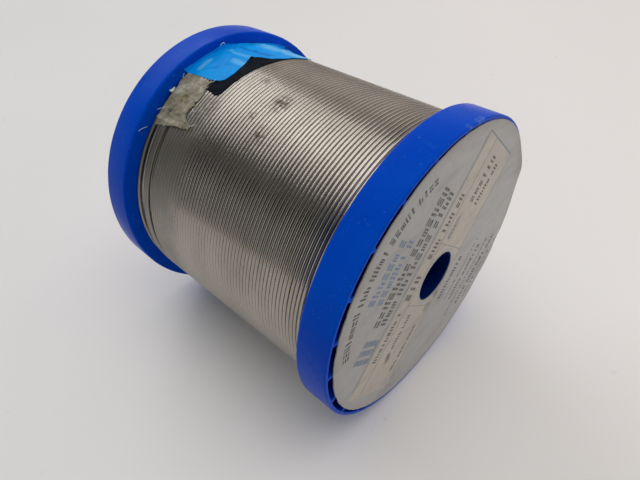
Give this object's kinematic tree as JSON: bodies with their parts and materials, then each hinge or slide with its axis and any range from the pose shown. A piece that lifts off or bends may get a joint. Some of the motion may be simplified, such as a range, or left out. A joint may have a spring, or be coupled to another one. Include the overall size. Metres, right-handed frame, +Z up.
{
  "type": "solder wire spool",
  "caption": "Moulded two-flange spool wound level with fine solder wire, with a through bore, a round paper label on the front flange and torn tape at the back.",
  "frame": {"origin": "on the bore's axis, half way between the outer faces of the two flanges", "axes": "+Y along the bore from the labelled front flange to the back flange, +Z up with the spool lying on its rims, +X to the right as seen from the label"},
  "size_m": [0.0676, 0.0676, 0.0676],
  "materials": {
    "reel_plastic": "satin moulded polystyrene, faintly scuffed",
    "solder": "drawn tin-lead wire, satin, slightly dulled",
    "flux": "amber rosin",
    "label_paper": "silver-grey coated paper",
    "masking_paper": "aged crepe paper",
    "black_vinyl": "black film",
    "blue_film": "light blue tape, satin"
  },
  "bodies": {
    "root": {"front_disc": "reel_plastic", "front_rim": "reel_plastic", "front_rim_ribs": "reel_plastic", "back_disc": "reel_plastic", "back_rim": "reel_plastic", "back_rim_ribs": "reel_plastic", "barrel": "reel_plastic", "hub_tube": "reel_plastic", "centre_web": "reel_plastic", "front_spokes": "reel_plastic", "back_spokes": "reel_plastic", "wire_start": "solder", "flux_core": "flux", "wire_layer_01": "solder", "wire_layer_02": "solder", "wire_layer_03": "solder", "wire_layer_04": "solder", "wire_layer_05": "solder", "wire_layer_06": "solder", "wire_layer_07": "solder", "wire_layer_08": "solder", "wire_layer_09": "solder", "wire_layer_10": "solder", "wire_layer_11": "solder", "wire_loose_turns": "solder", "front_label": "label_paper", "masking_tape": "masking_paper", "black_tape": "black_vinyl", "blue_tape": "blue_film"}
  },
  "joints": []
}
